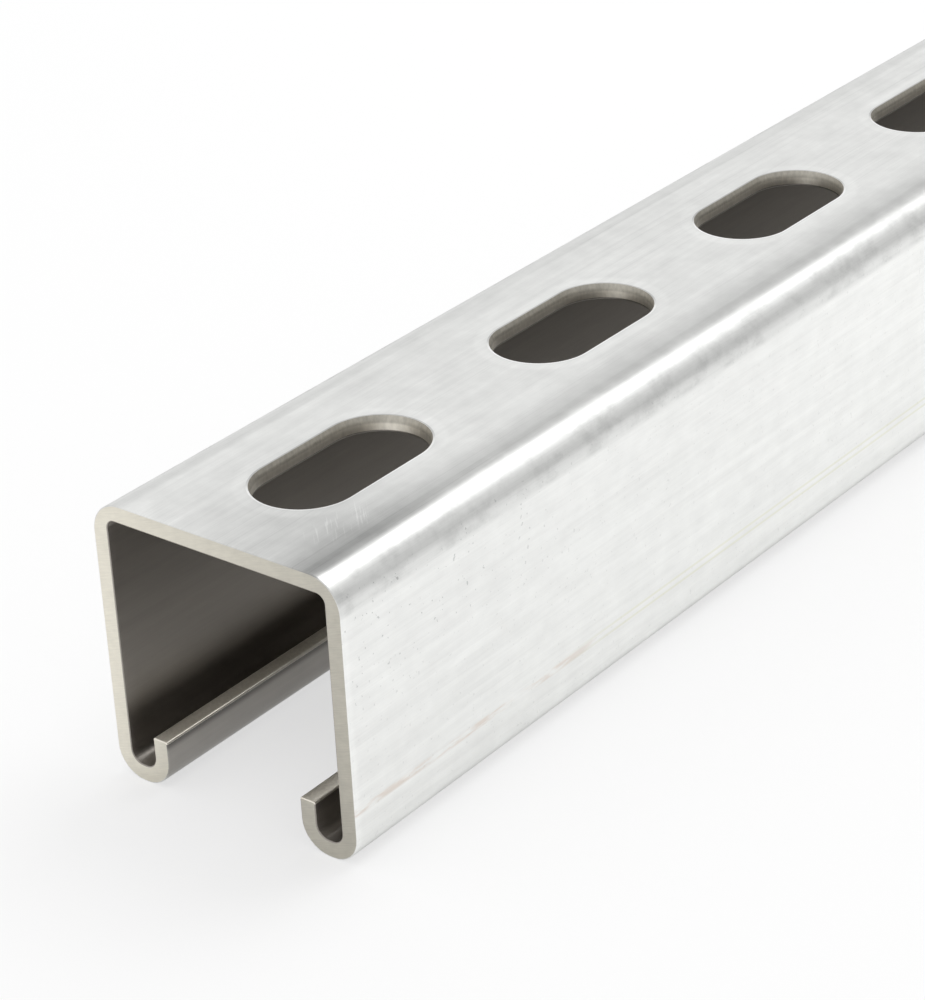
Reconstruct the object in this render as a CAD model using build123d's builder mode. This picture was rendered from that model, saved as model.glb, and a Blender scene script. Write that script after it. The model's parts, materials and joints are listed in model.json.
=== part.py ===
"""Slotted strut channel.

A C section with inturned lips, roll formed in one piece from a strip of stainless steel,
with a row of long slots punched through its web. It lies with the web on top and the lips
down, its length along Y. The origin is midway along, on the plane that the undersides of
the lips rest on. All sizes are in millimetres.
"""

import os
from math import floor

from build123d import *

# Section: the lips are measured over their outer faces, and their bends are inside radii.
# The strip thins as it turns from the web into a flange, so that bend has both its radii
WIDTH = 41.3
HEIGHT = 41.3
WALL = 2.5
WEB_BEND_OUTSIDE = 4.8
WEB_BEND_INSIDE = 1.3
LIP_BEND = 1.8
LIP_WIDTH = 9.2
LIP_HEIGHT = 7.5

# The strip's slit edges are the tips of the lips, and are slightly rounded
SLIT_EDGE_RADIUS = 0.3

# Length, and the slots along it
LENGTH = 609.6
SLOT_PITCH = 50.8
SLOT_LENGTH = 28.6
SLOT_WIDTH = 14.3
LEAST_END_DISTANCE = 25.0

# The punch goes through from the web's inner face and rolls that face's edge in round each slot
SLOT_ROLL_OVER = 0.4

# The least flat that a lip keeps between its two bends
LEAST_LIP_FLAT = 0.4

# As many slots as leave each cut end at least this far from the nearest slot's centre
slot_count = 1 + floor((LENGTH - 2 * LEAST_END_DISTANCE) / SLOT_PITCH)

# A narrow lip is bent tighter, so that its two bends still fit side by side
lip_bend = min(LIP_BEND, (LIP_WIDTH - LEAST_LIP_FLAT) / 2 - WALL)

# The lips keep their wall round their bends
lip_corner = lip_bend + WALL

# Where the inner face runs, and where the lip's two faces stand
inner_side = WIDTH / 2 - WALL
inner_top = HEIGHT - WALL
lip_front = WIDTH / 2 - LIP_WIDTH
lip_back = lip_front + WALL


with BuildPart() as strut_channel:
    # One half is drawn, outer face and inner face, and mirrored
    with BuildSketch(Plane.XZ) as section:
        with BuildLine():
            outer_face = FilletPolyline((0, HEIGHT), (WIDTH / 2, HEIGHT), (WIDTH / 2, 0),
                (lip_front, 0), (lip_front, LIP_HEIGHT),
                radius=[WEB_BEND_OUTSIDE, lip_corner, lip_corner])
            inner_face = FilletPolyline((0, inner_top), (inner_side, inner_top),
                (inner_side, WALL), (lip_back, WALL), (lip_back, LIP_HEIGHT),
                radius=[WEB_BEND_INSIDE, lip_bend, lip_bend])
            Line(outer_face @ 0, inner_face @ 0)
            Line(outer_face @ 1, inner_face @ 1)
        make_face()
        mirror(about=Plane.YZ)
        tip_corners = section.vertices().filter_by_position(
            Axis.Y, LIP_HEIGHT, LIP_HEIGHT
        )
        fillet(tip_corners, radius=SLIT_EDGE_RADIUS)
    extrude(amount=LENGTH / 2, both=True)

    # The slots, punched through the web along its middle
    with BuildSketch(Plane.XY.offset(HEIGHT)):
        with GridLocations(0, SLOT_PITCH, 1, slot_count):
            SlotOverall(SLOT_LENGTH, SLOT_WIDTH, rotation=90)
    extrude(amount=-(WALL + WEB_BEND_INSIDE), mode=Mode.SUBTRACT)
    punched_edges = strut_channel.edges(Select.LAST).group_by(Axis.Z)[0]
    fillet(punched_edges, radius=SLOT_ROLL_OVER)

strut_channel.part.label = "strut_channel"

os.makedirs("parts", exist_ok=True)
export_step(strut_channel.part, "parts/strut_channel.step")
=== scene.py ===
"""Slotted strut channel: a roll-formed section of stainless steel, its finishes and its studio.

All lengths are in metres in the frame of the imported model, and the shader works in millimetres.
The section lies web up, its length along Y, with the front cut end at the lowest Y.
"""

import json
from math import cos, radians, sin

import bmesh
import bpy
from mathutils import Matrix, Vector


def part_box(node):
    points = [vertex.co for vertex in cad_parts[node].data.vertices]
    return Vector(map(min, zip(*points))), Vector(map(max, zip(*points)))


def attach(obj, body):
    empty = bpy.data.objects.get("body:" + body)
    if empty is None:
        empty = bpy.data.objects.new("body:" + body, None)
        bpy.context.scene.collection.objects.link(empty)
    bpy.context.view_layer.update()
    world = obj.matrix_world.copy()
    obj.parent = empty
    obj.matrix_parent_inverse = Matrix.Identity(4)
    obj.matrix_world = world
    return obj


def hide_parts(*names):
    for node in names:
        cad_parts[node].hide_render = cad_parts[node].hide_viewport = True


bl_info = {
    "name": "Slotted strut channel",
    "version": (1, 0, 0),
    "blender": (4, 5, 0),
    "location": "3D View > Sidebar > Strut channel",
    "description": "Makes a slotted strut channel of stainless steel, and a studio to show it in",
    "category": "Object",
}

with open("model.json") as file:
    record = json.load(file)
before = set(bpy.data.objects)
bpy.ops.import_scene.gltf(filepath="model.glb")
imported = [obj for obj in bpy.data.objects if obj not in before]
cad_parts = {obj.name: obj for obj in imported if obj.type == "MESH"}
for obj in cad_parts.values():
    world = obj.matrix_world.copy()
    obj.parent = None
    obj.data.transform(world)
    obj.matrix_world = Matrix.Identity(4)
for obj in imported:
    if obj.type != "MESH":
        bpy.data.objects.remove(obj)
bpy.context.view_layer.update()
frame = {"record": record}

MM = 0.001
MOUNTS = {mount["name"]: mount for mount in frame["record"]["mounts"]}
LOW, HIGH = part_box("strut_channel")
HALF_WIDTH = HIGH.x
HEIGHT = HIGH.z
FLOOR = LOW.z
FRONT, BACK = LOW.y, HIGH.y
WALL = 2 * (HEIGHT - MOUNTS["end_face_front"]["pos_m"][2])
LIP_WIDTH = 2 * (HALF_WIDTH - MOUNTS["lip_underside_right"]["pos_m"][0])
LIP_HEIGHT = MOUNTS["lip_tip_right"]["pos_m"][2]
SLOT_PAIRS = [mount for name, mount in MOUNTS.items() if name.startswith("slots_")]
SLOT_PITCH = SLOT_PAIRS[0]["dims"]["spacing_y_mm"] * MM
SLOT_LENGTH = SLOT_PAIRS[0]["dims"]["slot_length_mm"] * MM
SLOT_RADIUS = SLOT_PAIRS[0]["dims"]["hole_r_mm"] * MM
SLOT_CENTRES = sorted(pair["pos_m"][1] + side * SLOT_PITCH / 2
                      for pair in SLOT_PAIRS for side in (-1, 1))


# Sizes and colours that a user would change


class SectionSizes(bpy.types.PropertyGroup):
    """The bends and edges of the section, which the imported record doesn't give."""

    wall: bpy.props.FloatProperty(
        name="Wall", description="Thickness of the strip",
        default=WALL, min=0.0005, max=0.004, precision=4, subtype="DISTANCE", unit="LENGTH")
    web_outside: bpy.props.FloatProperty(
        name="Web bend outside", description="Outer radius of the bends between web and flanges",
        default=4.8 * MM, min=0.003, precision=4, subtype="DISTANCE", unit="LENGTH")
    web_inside: bpy.props.FloatProperty(
        name="Web bend inside", description="Inner radius of the same bends; the strip thins there",
        default=1.3 * MM, min=0.0005, precision=4, subtype="DISTANCE", unit="LENGTH")
    lip_bend: bpy.props.FloatProperty(
        name="Lip bend", description="Inside radius of the bends in the lips",
        default=1.8 * MM, min=0.0003, precision=4, subtype="DISTANCE", unit="LENGTH")
    slit_edge: bpy.props.FloatProperty(
        name="Slit edge", description="Rounding of the strip's slit edges, at the tips of the lips",
        default=0.3 * MM, min=0.0001, precision=4, subtype="DISTANCE", unit="LENGTH")
    cut_edge: bpy.props.FloatProperty(
        name="Cut edge", description="Rounding left round the cut ends by deburring",
        default=0.15 * MM, min=0.00005, precision=5, subtype="DISTANCE", unit="LENGTH")
    roll_over: bpy.props.FloatProperty(
        name="Roll-over", description="Radius round each slot, on the inner face",
        default=0.4 * MM, min=0.0001, precision=4, subtype="DISTANCE", unit="LENGTH")
    tear: bpy.props.FloatProperty(
        name="Torn mouth", description="How much wider a slot breaks out at the outer face, all round",
        default=0.3 * MM, min=0, precision=4, subtype="DISTANCE", unit="LENGTH")
    sink: bpy.props.FloatProperty(
        name="Sunken rim", description="How far the web lies lower beside a slot",
        default=0.03 * MM, min=0, precision=5, subtype="DISTANCE", unit="LENGTH")


class SteelFinish(bpy.types.PropertyGroup):
    """Colours and gloss of the stainless steel."""

    mill: bpy.props.FloatVectorProperty(
        name="Mill finish", description="Colour of the outer faces",
        default=(0.83, 0.835, 0.82), size=3, min=0, max=1, subtype="COLOR")
    # Painted shade: the inside colour is far darker than the mill finish, partly for the shade in the
    # channel's hollow, partly a brownish film of forming oil
    inside: bpy.props.FloatVectorProperty(
        name="Inside", description="Colour of the inner faces, dulled by forming oil",
        default=(0.37, 0.345, 0.315), size=3, min=0, max=1, subtype="COLOR")
    cut: bpy.props.FloatVectorProperty(
        name="Cut end", description="Colour of the sawn ends",
        default=(0.72, 0.69, 0.605), size=3, min=0, max=1, subtype="COLOR")
    sheared: bpy.props.FloatVectorProperty(
        name="Sheared edge", description="Colour of the slot walls and the tips of the lips",
        default=(0.86, 0.82, 0.73), size=3, min=0, max=1, subtype="COLOR")
    stain: bpy.props.FloatVectorProperty(
        name="Stain", description="Colour of the faint streak low on each flange, near the front",
        default=(0.66, 0.52, 0.42), size=3, min=0, max=1, subtype="COLOR")
    tarnish: bpy.props.FloatVectorProperty(
        name="Tarnish", description="Colour of the pair of thin lines further along each flange",
        default=(0.72, 0.72, 0.50), size=3, min=0, max=1, subtype="COLOR")
    gloss: bpy.props.FloatProperty(
        name="Roughness", description="Roughness of the mill finish",
        default=0.34, min=0, max=1, subtype="FACTOR")


class Studio(bpy.types.PropertyGroup):
    """The camera, the lights and the floor."""

    azimuth: bpy.props.FloatProperty(
        name="Azimuth", description="How far the camera stands round towards +X from the front",
        default=radians(39.230), subtype="ANGLE", unit="ROTATION")
    elevation: bpy.props.FloatProperty(
        name="Elevation", description="How steeply the camera looks down",
        default=radians(27.655), subtype="ANGLE", unit="ROTATION")
    roll: bpy.props.FloatProperty(
        name="Roll", description="Turn of the camera about its own line of sight",
        default=radians(-3.0007), subtype="ANGLE", unit="ROTATION")
    distance: bpy.props.FloatProperty(
        name="Distance", description="From the camera to the point on the web that it looks at",
        default=0.3948, min=0.05, precision=4, subtype="DISTANCE", unit="LENGTH")
    lens: bpy.props.FloatProperty(
        name="Focal length", description="Focal length on a 36 mm sensor, in millimetres",
        default=112.895, min=10, max=500)
    sky: bpy.props.FloatProperty(
        name="Sky", description="Level of the soft light all round",
        default=1.0, min=0, max=4)
    key: bpy.props.FloatProperty(
        name="Soft box", description="Power of the soft box overhead",
        default=6.6, min=0, max=200, unit="POWER")
    floor: bpy.props.FloatVectorProperty(
        name="Floor", description="Colour of the floor",
        default=(0.86, 0.86, 0.86), size=3, min=0, max=1, subtype="COLOR")


# Shader expressions


class Value:
    """An output socket. Python's operators on it add Math nodes."""

    def __init__(self, graph, socket):
        self.graph, self.socket = graph, socket

    def maths(self, operation, *terms):
        return self.graph.add("ShaderNodeMath", {"operation": operation}, dict(enumerate(terms)))

    def __add__(self, other):
        return self.maths("ADD", self, other)

    __radd__ = __add__

    def __sub__(self, other):
        return self.maths("SUBTRACT", self, other)

    def __rsub__(self, other):
        return self.maths("SUBTRACT", other, self)

    def __mul__(self, other):
        return self.maths("MULTIPLY", self, other)

    __rmul__ = __mul__

    def __truediv__(self, other):
        return self.maths("DIVIDE", self, other)

    def __rtruediv__(self, other):
        return self.maths("DIVIDE", other, self)

    def __pow__(self, other):
        return self.maths("POWER", self, other)

    def __mod__(self, other):
        return self.maths("FLOORED_MODULO", self, other)

    def __abs__(self):
        return self.maths("ABSOLUTE", self)

    def above(self, other):
        """The larger of the two."""
        return self.maths("MAXIMUM", self, other)

    def rise(self, start, end):
        """0 before start and 1 after end, with a smooth change between; start may be the larger."""
        if start > end:
            return 1 - self.rise(end, start)
        return self.graph.add("ShaderNodeMapRange", {"interpolation_type": "SMOOTHSTEP"},
                              {"Value": self, "From Min": start, "From Max": end})

    def band(self, middle, half_width, soft):
        """1 within half_width of middle, falling to 0 over soft."""
        return abs(self - middle).rise(half_width + soft, half_width)


class Graph:
    """A material's or the world's node tree, emptied and filled through add."""

    def __init__(self, owner):
        owner.use_nodes = True
        self.tree = owner.node_tree
        self.tree.nodes.clear()

    def add(self, kind, settings=None, inputs=None, output=0):
        """Adds a node. Its settings come first, then the values or links of its sockets."""
        node = self.tree.nodes.new(kind)
        for name, setting in (settings or {}).items():
            if name == "stops":
                stops = node.color_ramp.elements
                while len(stops) < len(setting):
                    stops.new(1)
                for stop, (place, colour) in zip(stops, setting):
                    stop.position, stop.color = place, colour
            else:
                setattr(node, name, setting)
        for name, value in (inputs or {}).items():
            if isinstance(value, Value):
                self.tree.links.new(value.socket, node.inputs[name])
            else:
                node.inputs[name].default_value = value
        return Value(self, node.outputs[output]) if node.outputs else None

    def split(self, vector):
        """The three parts of a vector."""
        parts = self.add("ShaderNodeSeparateXYZ", None, {0: vector}).socket.node
        return [Value(self, socket) for socket in parts.outputs]

    def place(self):
        """The point on the piece in millimetres, as three values."""
        return [part / MM for part in self.split(self.add("ShaderNodeTexCoord", output=3))]

    def noise(self, x, y, z, detail=3.0, rough=0.55):
        """Soft noise about 0.5, on coordinates in grains."""
        spot = self.add("ShaderNodeCombineXYZ", None, {"X": x, "Y": y, "Z": z})
        return self.add("ShaderNodeTexNoise", {"noise_dimensions": "3D"},
                        {"Vector": spot, "Scale": 1.0, "Detail": detail, "Roughness": rough})

    def mix(self, share, first, second):
        """A colour between two, by share."""
        return self.add("ShaderNodeMix", {"data_type": "RGBA"},
                        {0: share, 6: rgba(first), 7: rgba(second)}, output=2)

    def tint(self, colour, factor):
        """A colour made lighter or darker by a value."""
        grey = self.add("ShaderNodeCombineColor", None, {0: factor, 1: factor, 2: factor})
        return self.add("ShaderNodeMix", {"data_type": "RGBA", "blend_type": "MULTIPLY"},
                        {0: 1.0, 6: rgba(colour), 7: grey}, output=2)

    def bump(self, height, distance, strength=1.0):
        """A normal from a height that is 1 at distance, in millimetres."""
        return self.add("ShaderNodeBump", None,
                        {"Height": height, "Distance": distance * MM, "Strength": strength})

    def steel(self, colour, roughness, normal):
        """Ends the graph in bare metal."""
        metal = self.add("ShaderNodeBsdfPrincipled", None,
                         {"Base Color": colour, "Metallic": 1.0, "Roughness": roughness,
                          "Normal": normal})
        self.add("ShaderNodeOutputMaterial", None, {"Surface": metal})


def rgba(colour):
    """A plain colour with its alpha; a link stays as it is."""
    return colour if isinstance(colour, Value) else (*colour[:3], 1.0)


# Finishes


# Heights and lengths that the marks on the outer faces are measured from, in millimetres
TOP_LEVEL, FRONT_END = HEIGHT / MM, FRONT / MM


def web_edge(sizes):
    """How far from the middle the flat of the web ends, in millimetres."""
    return (HALF_WIDTH - sizes.web_outside) / MM


def beside_slot(x, y, sizes):
    """How far a point on the web is from the nearest slot's mouth, and 1 on its near side."""
    pitch, straight = SLOT_PITCH / MM, (SLOT_LENGTH / 2 - SLOT_RADIUS) / MM
    along = (y - (SLOT_CENTRES[0] / MM - pitch / 2)) % pitch - pitch / 2
    past = (abs(along) - straight).above(0)
    distance = (x * x + past * past) ** 0.5 - (SLOT_RADIUS + sizes.tear) / MM
    return distance, (x - along * 0.5).rise(-2.0, 2.0)


def web_marks_and_painted_light(graph, x, y, z, streaks, sizes):
    """How much lighter the web is for its marks and for painted light and shade; a darker place is
    below 0.
    """
    edge = web_edge(sizes)
    # Painted shade: the web is darker in streaks beside its right bend, in a thin line along the
    # crease at both edges, and near the front end, most toward the right
    painted_shade_beside_bend = x.rise(edge - 6.5, edge) * (0.12 + streaks * 0.24)
    front_shade = x.rise(-14.0, 14.0) * y.rise(FRONT_END + 34.0, FRONT_END + 6.0) * 0.27
    painted_crease_shade = abs(x).rise(edge - 1.3, edge - 0.4) * 0.07
    lines = graph.noise(x * 3.0, y * 0.012, z, detail=2).rise(0.62, 0.68) * 0.06

    # Painted light round each slot: a faint light ring on the slope where the web sinks, and at the
    # mouth a thin painted highlight on the near side and painted shadow on the far side
    distance, near_side = beside_slot(x, y, sizes)
    painted_halo = distance.band(1.3, 0.3, 0.9) * 0.05
    rim = distance.band(0.12, 0.08, 0.12) * (near_side * 0.5 - 0.3)

    scratched = (x - 11.0).band(0, 1.5, 2.0) * (y - (FRONT_END + 12.0)).band(0, 3.0, 4.0)
    scratches = scratched * graph.noise((x + y) * 2.6, (x - y) * 0.1, z).rise(0.60, 0.65) * 0.12
    return painted_halo + rim + scratches - painted_shade_beside_bend - front_shade - painted_crease_shade - lines


def flange_painted_light_and_marks(graph, x, y, z):
    """How much lighter a flange is: painted light, stronger further along, and darker where pitted,
    most near the front.
    """
    # Painted light: the whole flange is lighter, more so further along
    painted_flange_light = 0.07 + y.rise(FRONT_END + 50.0, FRONT_END + 150.0) * 0.06
    upper_front = z.rise(18.0, 30.0) * y.rise(FRONT_END + 60.0, FRONT_END + 20.0)
    pits = (graph.noise(x, y * 1.7, z * 1.7, detail=1).rise(0.70, 0.75)
            * (0.1 + upper_front * 0.2))
    front_strip = y.rise(FRONT_END + 1.4, FRONT_END + 0.4) * 0.05
    return painted_flange_light - pits + front_strip


def stains(graph, x, y, z):
    """The streak low on a flange: a broken brown line near the front, then a pair of thin lines."""
    front_part = y.rise(FRONT_END + 62.0, FRONT_END + 40.0)
    broken = graph.noise(x, y * 0.18, z * 0.9, detail=4).rise(0.38, 0.60)
    brown = z.band(8.2, 0.25, 0.5) * broken * front_part
    pair = (z.band(7.8, 0.08, 0.2) + z.band(8.9, 0.08, 0.2)) * (1 - front_part)
    return brown * 0.45, pair * 0.32


def mill_finish(finish, sizes):
    """The outer faces: rolled strip with lengthwise grain, the marks of forming and handling, and
    painted light and shade.
    """
    material = bpy.data.materials.new("mill_finish")
    graph = Graph(material)
    x, y, z = graph.place()
    side = abs(x)
    grain = graph.noise(x * 7, y * 0.12, z * 7, detail=4)
    streaks = graph.noise(x * 0.9, y * 0.02, z * 0.9, detail=3)
    mottle = graph.noise(x * 0.28, y * 0.22, z * 0.28, detail=5, rough=0.62)
    cloud = graph.noise(x * 0.05, y * 0.03, z * 0.05, detail=2)

    # Each is 1 on its own face and 0 elsewhere
    edge, lip_top, gap_edge = web_edge(sizes), LIP_HEIGHT / MM, (HALF_WIDTH - LIP_WIDTH) / MM
    web = z.rise(TOP_LEVEL - 0.5, TOP_LEVEL - 0.1)
    bend = side.rise(edge, edge + 1.0) * z.rise(TOP_LEVEL - 5.5, TOP_LEVEL - 4.5) * (1 - web)
    flange = side.rise(edge + 4.0, edge + 4.6)
    # Painted shade: the lips' faces toward the gap take most of the inside colour and are darker,
    # darkest at the top beside the channel's hollow
    painted_shade_lip_face = side.rise(gap_edge + 1.5, gap_edge + 0.3) * (lip_top - z).rise(-1.0, -0.2)
    painted_shade_lip_rim = painted_shade_lip_face * z.rise(lip_top - 1.6, lip_top - 0.4)

    # Painted shade: the bends are darker, in mottled grey, standing in for their dull, mottled
    # reflection
    tone = (1.0 + (grain - 0.5) * 0.12 + (streaks - 0.5) * 0.18 + (mottle - 0.5) * 0.20
            + (cloud - 0.5) * 0.06
            + web * web_marks_and_painted_light(graph, x, y, z, streaks, sizes)
            - bend * (0.08 + mottle.rise(0.38, 0.72) * 0.22)
            + flange * flange_painted_light_and_marks(graph, x, y, z)
            - painted_shade_lip_face * 0.10 - painted_shade_lip_rim * 0.45)
    colour = graph.tint(graph.mix(painted_shade_lip_face * 0.8, finish.mill, finish.inside), tone)
    brown, pair = stains(graph, x, y, z)
    colour = graph.mix(flange * brown, colour, finish.stain)
    colour = graph.mix(flange * pair, colour, finish.tarnish)
    roughness = finish.gloss + (mottle - 0.5) * 0.12 + (streaks - 0.5) * 0.08 + bend * 0.08
    height = grain * 0.35 + mottle * 0.65
    graph.steel(colour, roughness, graph.bump(height, 0.02))
    return material


def inside_finish(finish, sizes):
    """The inner faces: the same strip, browned by forming oil and dust, and darkened with painted
    shade.
    """
    material = bpy.data.materials.new("inside_finish")
    graph = Graph(material)
    x, y, z = graph.place()
    grain = graph.noise(x * 5, y * 0.15, z * 5, detail=4)
    streaks = graph.noise(x * 0.6, y * 0.03, z * 0.6, detail=3)
    tone = 1.0 + (grain - 0.5) * 0.15 + (streaks - 0.5) * 0.25
    roughness = 0.42 + (streaks - 0.5) * 0.15
    graph.steel(graph.tint(finish.inside, tone), roughness, graph.bump(grain, 0.01))
    return material


def cut_finish(finish, sizes):
    """The sawn ends: fine slanting saw marks."""
    material = bpy.data.materials.new("cut_finish")
    graph = Graph(material)
    x, y, z = graph.place()
    marks = graph.noise((x + z * 0.35) * 0.4, y, (z - x * 0.35) * 6, detail=4)
    mottle = graph.noise(x * 0.7, y, z * 0.7, detail=3)
    # Painted light: the end is lighter toward its left side
    painted_light_left = x * 0.0095
    tone = 0.95 + (marks - 0.5) * 0.3 + (mottle - 0.5) * 0.15 - painted_light_left
    graph.steel(graph.tint(finish.cut, tone), 0.45 + (marks - 0.5) * 0.2,
                graph.bump(marks, 0.02))
    return material


def sheared_finish(finish, sizes):
    """Slot walls and lip tips: smooth where the blade went in, duller where the slots tore."""
    material = bpy.data.materials.new("sheared_finish")
    graph = Graph(material)
    x, y, z = graph.place()
    tear = graph.noise(x * 2.2, y * 2.2, z * 0.8, detail=4)
    torn = z.rise((HEIGHT - 0.5 * sizes.wall) / MM, (HEIGHT - 0.35 * sizes.wall) / MM)
    lip_tip = z.rise(LIP_HEIGHT / MM + 2.0, LIP_HEIGHT / MM + 1.0)
    tone = 1.0 + (tear - 0.5) * 0.4 - torn * 0.3 + lip_tip * 0.1
    graph.steel(graph.tint(finish.sheared, tone), 0.45, graph.bump(tear, 0.04))
    return material


# The section as a mesh

MILL, INSIDE, CUT, SHEARED = range(4)

# Steps round and between the bends, and the width of the strip of faces that ends each flat
WEB_BEND_STEPS, LIP_BEND_STEPS, FLANGE_STEPS = 12, 8, 6
BESIDE_BEND = 0.3 * MM


def spread(start, end, count):
    """Evenly spaced numbers after start, up to and with end."""
    return [start + (end - start) * (i + 1) / count for i in range(count)]


def sheet_pairs(sizes):
    """The right half of the sheet from the web's edge to the tip of the lip.

    Each step is a point on the outer face, the point under it on the inner face, both as
    (x, z), and the outward normal.
    """
    wall = sizes.wall
    outside, inside, lip_corner = sizes.web_outside, sizes.web_inside, sizes.lip_bend + wall
    pairs = []

    def flat(px, pz, nx, nz):
        pairs.append(((px, pz), (px - nx * wall, pz - nz * wall), (nx, nz)))

    def lip_bend(cx, cz, corner, start, end):
        for angle in [start] + spread(start, end, LIP_BEND_STEPS):
            nx, nz = cos(radians(angle)), sin(radians(angle))
            flat(cx + corner * nx, cz + corner * nz, nx, nz)

    flat(HALF_WIDTH - outside - BESIDE_BEND, HEIGHT, 0, 1)
    for angle in [90] + spread(90, 0, WEB_BEND_STEPS):
        nx, nz = cos(radians(angle)), sin(radians(angle))
        outer = (HALF_WIDTH - outside * (1 - nx), HEIGHT - outside * (1 - nz))
        inner = (HALF_WIDTH - wall - inside * (1 - nx), HEIGHT - wall - inside * (1 - nz))
        pairs.append((outer, inner, (nx, nz)))
    top, foot = HEIGHT - outside - BESIDE_BEND, FLOOR + lip_corner + BESIDE_BEND
    for pz in [top] + spread(top, foot, FLANGE_STEPS):
        flat(HALF_WIDTH, pz, 1, 0)
    lip_bend(HALF_WIDTH - lip_corner, FLOOR + lip_corner, lip_corner, 0, -90)
    gap = HALF_WIDTH - LIP_WIDTH
    lip_bend(gap + lip_corner, FLOOR + lip_corner, lip_corner, -90, -180)
    for pz in spread(FLOOR + lip_corner, FLOOR + LIP_HEIGHT - sizes.slit_edge, 2):
        flat(gap, pz, -1, 0)
    return pairs


def tip_points(sizes):
    """The rounded slit edge between the lip's outer and inner faces, as (point, normal)."""
    gap = HALF_WIDTH - LIP_WIDTH
    radius = sizes.slit_edge
    points = []
    for cx, start, end in ((gap + radius, 180, 90), (gap + sizes.wall - radius, 90, 0)):
        for angle in [start] + spread(start, end, 4):
            nx, nz = cos(radians(angle)), sin(radians(angle))
            points.append(((cx + radius * nx, FLOOR + LIP_HEIGHT - radius + radius * nz),
                           (nx, nz)))
    return points[1:-1]


def end_steps(sizes):
    """How the rounding of a cut end goes: (distance from the end, inset), from the end in."""
    radius = sizes.cut_edge
    return [(radius * (1 - sin(radians(a))), radius * (1 - cos(radians(a)))) for a in (90, 60, 30)]


# Steps round a slot: along each long side, bend, straight and bend, and across each end
ARC_STEPS, STRAIGHT_STEPS, END_STEPS = 8, 10, 16
# How far from a slot's middle the even steps along its long sides reach
STRAIGHT_REACH = 9 * MM
# How the web sinks toward a slot: how far past its mouth, and the share of the sink there
SINKING = ((5.0 * MM, 0), (3.6 * MM, 0.3), (2.2 * MM, 0.75), (1.2 * MM, 1), (0.5 * MM, 1), (0, 1))
# How deep a slot's mouth is torn, as a share of the wall, and where the tear is half as wide
TORN_SHARE, HALF_TORN_SHARE = 0.4, 0.2


def cell_stations(centre, low, high):
    """The steps along Y of one slot's cell, from low to high."""
    start, end = centre - STRAIGHT_REACH, centre + STRAIGHT_REACH
    return ([low] + spread(low, start, ARC_STEPS) + spread(start, end, STRAIGHT_STEPS)
            + spread(end, high, ARC_STEPS))


def slot_outline(centre, low, high, edge):
    """Round one slot: (point on the outline, its outward normal, point on the cell's border)."""
    straight = SLOT_LENGTH / 2 - SLOT_RADIUS
    half_turn = ([(-45 + 45 * i / ARC_STEPS, -1) for i in range(ARC_STEPS)]
                 + [(0, -1 + 2 * i / STRAIGHT_STEPS) for i in range(STRAIGHT_STEPS)]
                 + [(45 * i / ARC_STEPS, 1) for i in range(ARC_STEPS)]
                 + [(45 + 90 * i / END_STEPS, 1) for i in range(END_STEPS)])
    turns = half_turn + [(angle + 180, -shift) for angle, shift in half_turn]
    along = cell_stations(centre, low, high)
    across = [edge] + spread(edge, -edge, END_STEPS)
    border = ([(edge, py) for py in along[:-1]] + [(px, high) for px in across[:-1]]
              + [(-edge, py) for py in along[:0:-1]] + [(px, low) for px in across[:0:-1]])
    outline = []
    for (angle, shift), corner in zip(turns, border):
        normal = (cos(radians(angle)), sin(radians(angle)))
        point = (SLOT_RADIUS * normal[0], centre + shift * straight + SLOT_RADIUS * normal[1])
        outline.append((point, normal, corner))
    return outline


def slot_rings(sizes, centre, low, high, edge):
    """Rings from the border of a slot's cell in over the web, down the slot and out below."""
    outline = slot_outline(centre, low, high, edge)
    roll, tear, wall = sizes.roll_over, sizes.tear, sizes.wall
    under = HEIGHT - wall

    def ring(offset, level):
        return [(p[0] + n[0] * offset, p[1] + n[1] * offset, level) for p, n, _ in outline]

    rings = [([(*b, HEIGHT) for _, _, b in outline], MILL)]
    for past_mouth, share in SINKING:
        rings.append((ring(tear + past_mouth, HEIGHT - sizes.sink * share), MILL))
    rings.append((ring(tear / 2, HEIGHT - HALF_TORN_SHARE * wall), SHEARED))
    rings.append((ring(0, HEIGHT - TORN_SHARE * wall), SHEARED))
    rings.append((ring(0, under + roll), SHEARED))
    for angle in (22.5, 45, 67.5, 90):
        rings.append((ring(roll * (1 - cos(radians(angle))),
                           under + roll * (1 - sin(radians(angle)))), INSIDE))
    for offset in (1.3 * MM, 3.4 * MM):
        rings.append((ring(offset, under), INSIDE))
    rings.append(([(*b, under) for _, _, b in outline], INSIDE))
    return rings


class Skin:
    """Points and faces of a mesh, gathered patch by patch."""

    def __init__(self):
        self.points, self.faces, self.finishes = [], [], []

    def rows(self, rows, finishes, closed=False):
        """Quads between rows of as many points; finishes gives each one's finish."""
        first = len(self.points)
        count = len(rows[0])
        for row in rows:
            self.points.extend(row)
        columns = count if closed else count - 1
        for r in range(len(rows) - 1):
            for c in range(columns):
                near, far = first + r * count, first + (r + 1) * count
                following = (c + 1) % count
                self.faces.append((near + c, near + following, far + following, far + c))
                self.finishes.append(finishes(r, c))

    def polygon(self, points, finish):
        """One flat face."""
        first = len(self.points)
        self.points.extend(points)
        self.faces.append(tuple(range(first, first + len(points))))
        self.finishes.append(finish)


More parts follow.
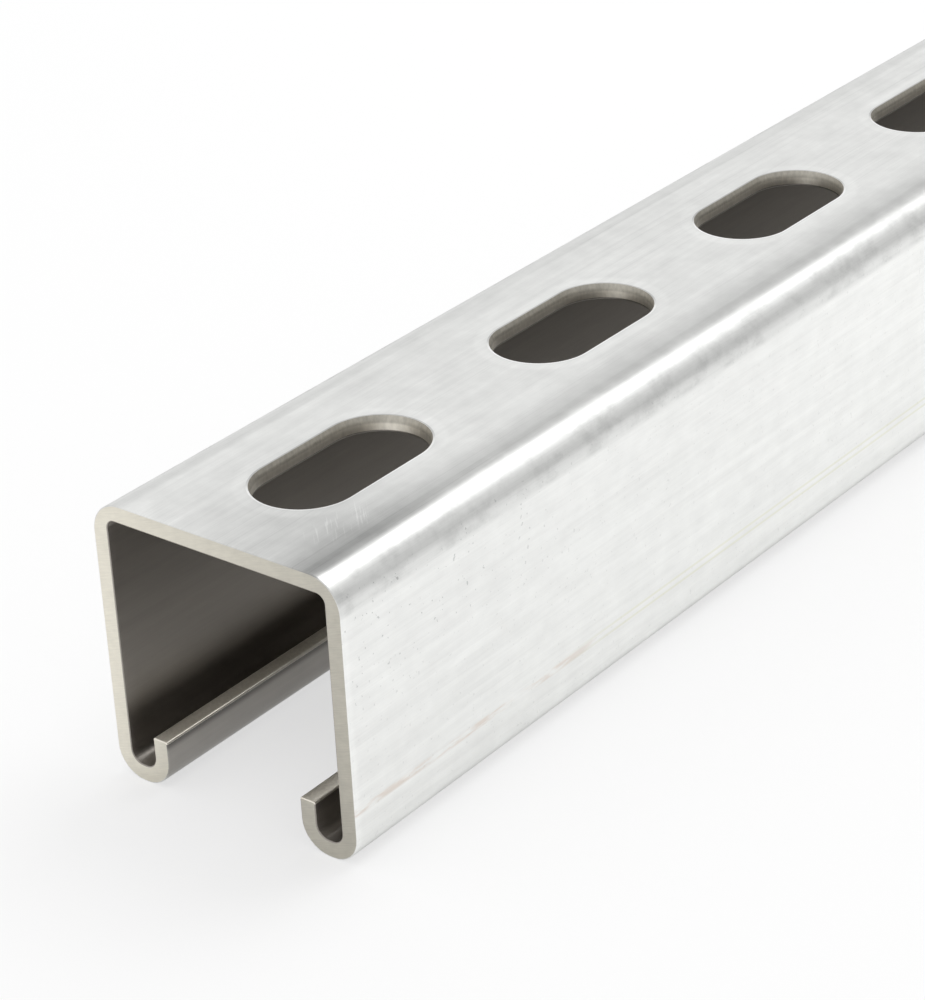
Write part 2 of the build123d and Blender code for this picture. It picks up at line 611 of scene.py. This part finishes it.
def run_skin(skin, sizes, pairs, tip, borders):
    """The bends, flanges and lips on both sides, from one cut end to the other."""
    chain = ([(outer, normal) for outer, inner, normal in pairs] + tip
             + [(inner, (-normal[0], -normal[1])) for outer, inner, normal in reversed(pairs)])
    first_tip, last_tip = len(pairs) - 1, len(pairs) + len(tip)

    def finishes(row, column):
        if first_tip <= column < last_tip:
            return SHEARED
        return MILL if column < first_tip else INSIDE

    stations = [borders[0]]
    for centre, low, high in zip(SLOT_CENTRES, borders, borders[1:]):
        stations += cell_stations(centre, low, high)[1:]
    ends = end_steps(sizes)
    steps = ([(FRONT + gone, inset) for gone, inset in ends] + [(py, 0) for py in stations]
             + [(BACK - gone, inset) for gone, inset in reversed(ends)])
    for side in (1, -1):
        skin.rows([[(side * (p[0] - n[0] * inset), py, p[1] - n[1] * inset) for p, n in chain]
                   for py, inset in steps], finishes)


def slot_skin(skin, sizes, edge, borders):
    """The flat of the web, with a slot in each cell."""
    for centre, low, high in zip(SLOT_CENTRES, borders, borders[1:]):
        rings = slot_rings(sizes, centre, low, high, edge)
        skin.rows([points for points, _ in rings],
                  lambda row, column: rings[row + 1][1], closed=True)


def end_skin(skin, sizes, pairs, tip, end, inward):
    """One cut end, with its edges rounded."""
    inset = sizes.cut_edge
    edge = pairs[0][0][0]
    across = [edge] + spread(edge, -edge, END_STEPS)
    under = HEIGHT - sizes.wall
    rounding = end_steps(sizes) + [(inset, 0)]
    skin.rows([[(px, end + inward * gone, HEIGHT - drop) for px in across]
               for gone, drop in rounding], lambda row, column: MILL)
    skin.rows([[(px, end + inward * gone, under + drop) for px in across]
               for gone, drop in rounding], lambda row, column: INSIDE)
    skin.rows([[(px, end, level) for px in across]
               for level in (HEIGHT - inset, under + inset)], lambda row, column: CUT)

    def drawn_in(side, point, normal):
        return (side * (point[0] - normal[0] * inset), end, point[1] - normal[1] * inset)

    for side in (1, -1):
        skin.rows([[drawn_in(side, outer, n), drawn_in(side, inner, (-n[0], -n[1]))]
                   for outer, inner, n in pairs], lambda row, column: CUT)
        outer, inner, n = pairs[-1]
        cap = [(outer, n)] + tip + [(inner, (-n[0], -n[1]))]
        skin.polygon([drawn_in(side, point, normal) for point, normal in cap], CUT)


def section_skin(sizes):
    """The whole section as one closed skin."""
    skin = Skin()
    pairs, tip = sheet_pairs(sizes), tip_points(sizes)
    borders = ([FRONT + sizes.cut_edge]
               + [(a + b) / 2 for a, b in zip(SLOT_CENTRES, SLOT_CENTRES[1:])]
               + [BACK - sizes.cut_edge])
    run_skin(skin, sizes, pairs, tip, borders)
    slot_skin(skin, sizes, pairs[0][0][0], borders)
    for end, inward in ((FRONT, 1), (BACK, -1)):
        end_skin(skin, sizes, pairs, tip, end, inward)
    return skin


# How close two points are to be welded, and the least angle between faces of a sharp edge
WELD, SHARP = 0.002 * MM, radians(40)


def mesh_from(skin, name):
    """A mesh with its seams welded, its faces turned outwards and its sharp edges marked."""
    mesh = bpy.data.meshes.new(name)
    mesh.from_pydata(skin.points, [], skin.faces)
    mesh.polygons.foreach_set("material_index", skin.finishes)
    shape = bmesh.new()
    shape.from_mesh(mesh)
    bmesh.ops.remove_doubles(shape, verts=shape.verts, dist=WELD)
    bmesh.ops.recalc_face_normals(shape, faces=shape.faces)
    open_edges = sum(1 for edge in shape.edges if len(edge.link_faces) != 2)
    shape.to_mesh(mesh)
    shape.free()
    if open_edges:
        raise RuntimeError(f"the skin of {name} has {open_edges} open edges")
    mesh.shade_smooth()
    mesh.set_sharp_from_angle(angle=SHARP)
    return mesh


# Operators


class OBJECT_OT_strut_channel(bpy.types.Operator):
    """Makes the slotted strut channel in place of its plain CAD model."""

    bl_idname = "object.make_strut_channel"
    bl_label = "Strut channel"
    bl_options = {"REGISTER", "UNDO"}

    def execute(self, context):
        sizes = context.scene.strut_section
        finish = context.scene.strut_finish
        mesh = mesh_from(section_skin(sizes), "strut_channel_steel")
        for make in (mill_finish, inside_finish, cut_finish, sheared_finish):
            mesh.materials.append(make(finish, sizes))
        piece = bpy.data.objects.new("strut_channel_steel", mesh)
        context.scene.collection.objects.link(piece)
        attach(piece, "root")
        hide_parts("strut_channel")
        return {"FINISHED"}


# How far the floor glows plain white, where it is seen and where it is mirrored
SEEN_GLOW, MIRRORED_GLOW = 0.6, 0.25
# How much dimmer the sky is low on the +X side
DIM_SIDE = 0.42


class SCENE_OT_strut_studio(bpy.types.Operator):
    """Sets up the floor, the soft light and the camera."""

    bl_idname = "scene.set_strut_studio"
    bl_label = "Studio"
    bl_options = {"REGISTER", "UNDO"}

    def execute(self, context):
        studio = context.scene.strut_studio
        self.floor(context, studio)
        self.sky(context, studio)
        self.soft_box(context, studio)
        self.camera(context, studio)
        context.scene.view_settings.view_transform = "Standard"
        return {"FINISHED"}

    def floor(self, context, studio):
        reach = 4.0
        mesh = bpy.data.meshes.new("floor")
        mesh.from_pydata([(-reach, -reach, FLOOR), (reach, -reach, FLOOR),
                          (reach, reach, FLOOR), (-reach, reach, FLOOR)], [], [(0, 1, 2, 3)])
        material = bpy.data.materials.new("pale_floor")
        graph = Graph(material)
        ray = graph.add("ShaderNodeLightPath").socket.node
        seen = Value(graph, ray.outputs["Is Camera Ray"])
        mirrored = Value(graph, ray.outputs["Is Glossy Ray"]).above(
            Value(graph, ray.outputs["Is Transmission Ray"]))
        lit = graph.add("ShaderNodeBsdfDiffuse", None, {"Color": rgba(studio.floor)})
        white = graph.add("ShaderNodeEmission", None, {"Color": (1, 1, 1, 1), "Strength": 1.0})
        share = seen * SEEN_GLOW + mirrored * MIRRORED_GLOW
        surface = graph.add("ShaderNodeMixShader", None, {0: share, 1: lit, 2: white})
        graph.add("ShaderNodeOutputMaterial", None, {"Surface": surface})
        mesh.materials.append(material)
        floor = bpy.data.objects.new("floor", mesh)
        context.scene.collection.objects.link(floor)

    def sky(self, context, studio):
        world = bpy.data.worlds.new("soft_sky")
        context.scene.world = world
        graph = Graph(world)
        across, _, rise = graph.split(graph.add("ShaderNodeTexCoord", output=0))
        # The sky's level by how steeply a direction rises: pale low down, brightest overhead
        levels = ((0.0, 0.84), (0.28, 0.86), (0.40, 0.80), (0.53, 0.74), (0.64, 0.90), (0.76, 1.04),
                  (1.0, 1.08))
        glow = graph.add("ShaderNodeValToRGB",
                         {"stops": [(sine, (level,) * 3 + (1,)) for sine, level in levels]},
                         {"Fac": rise})
        # A dimmer stretch low on the +X side shows as a dull band along the right bend
        dim_side = across.rise(0.15, 0.6) * rise.rise(0.5, 0.1)
        glow = graph.tint(glow, 1 - dim_side * DIM_SIDE)
        light = graph.add("ShaderNodeBackground", None, {"Color": glow, "Strength": studio.sky})
        graph.add("ShaderNodeOutputWorld", None, {"Surface": light})

    def soft_box(self, context, studio):
        lamp = bpy.data.lights.new("soft_box", "AREA")
        lamp.shape = "DISK"
        lamp.size = 1.0
        lamp.energy = studio.key
        box = bpy.data.objects.new("soft_box", lamp)
        box.visible_camera = False
        middle = Vector((0, 0, HEIGHT))
        box.location = middle + Vector((0.15, 0.55, 1.3))
        box.rotation_euler = (middle - box.location).to_track_quat("-Z", "Y").to_euler()
        context.scene.collection.objects.link(box)

    def camera(self, context, studio):
        lens = bpy.data.cameras.new("camera")
        lens.sensor_width = 36
        lens.lens = studio.lens
        lens.clip_start, lens.clip_end = 0.01, 20
        camera = bpy.data.objects.new("camera", lens)
        # The camera looks at a point level with the web, just inside the right flange's outer face
        # and beside the first slot
        aim = Vector((19.97 * MM, FRONT + 25.27 * MM, HEIGHT))
        a, e = studio.azimuth, studio.elevation
        ahead = Vector((-sin(a) * cos(e), cos(a) * cos(e), -sin(e)))
        right = Vector((cos(a), sin(a), 0))
        up = right.cross(ahead)
        turn = Matrix((right, up, -ahead)).transposed().to_4x4()
        camera.matrix_world = (Matrix.Translation(aim - ahead * studio.distance) @ turn
                               @ Matrix.Rotation(studio.roll, 4, "Z"))
        context.scene.collection.objects.link(camera)
        context.scene.camera = camera


class VIEW3D_PT_strut_channel(bpy.types.Panel):
    """Lists the piece and the studio, with their sizes and colours."""

    bl_label = "Strut channel"
    bl_space_type = "VIEW_3D"
    bl_region_type = "UI"
    bl_category = "Strut channel"

    def draw(self, context):
        scene = context.scene
        for operator, group in ((OBJECT_OT_strut_channel, scene.strut_section),
                                (None, scene.strut_finish),
                                (SCENE_OT_strut_studio, scene.strut_studio)):
            box = self.layout.box()
            if operator:
                box.operator(operator.bl_idname)
            for name in group.bl_rna.properties.keys():
                if name not in ("name", "rna_type"):
                    box.prop(group, name)


CLASSES = (SectionSizes, SteelFinish, Studio, OBJECT_OT_strut_channel, SCENE_OT_strut_studio,
           VIEW3D_PT_strut_channel)


def register():
    for cls in CLASSES:
        bpy.utils.register_class(cls)
    bpy.types.Scene.strut_section = bpy.props.PointerProperty(type=SectionSizes)
    bpy.types.Scene.strut_finish = bpy.props.PointerProperty(type=SteelFinish)
    bpy.types.Scene.strut_studio = bpy.props.PointerProperty(type=Studio)


def unregister():
    for name in ("strut_section", "strut_finish", "strut_studio"):
        delattr(bpy.types.Scene, name)
    for cls in reversed(CLASSES):
        bpy.utils.unregister_class(cls)


def main():
    register()
    bpy.ops.scene.set_strut_studio()
    bpy.ops.object.make_strut_channel()


if __name__ == "__main__":
    main()
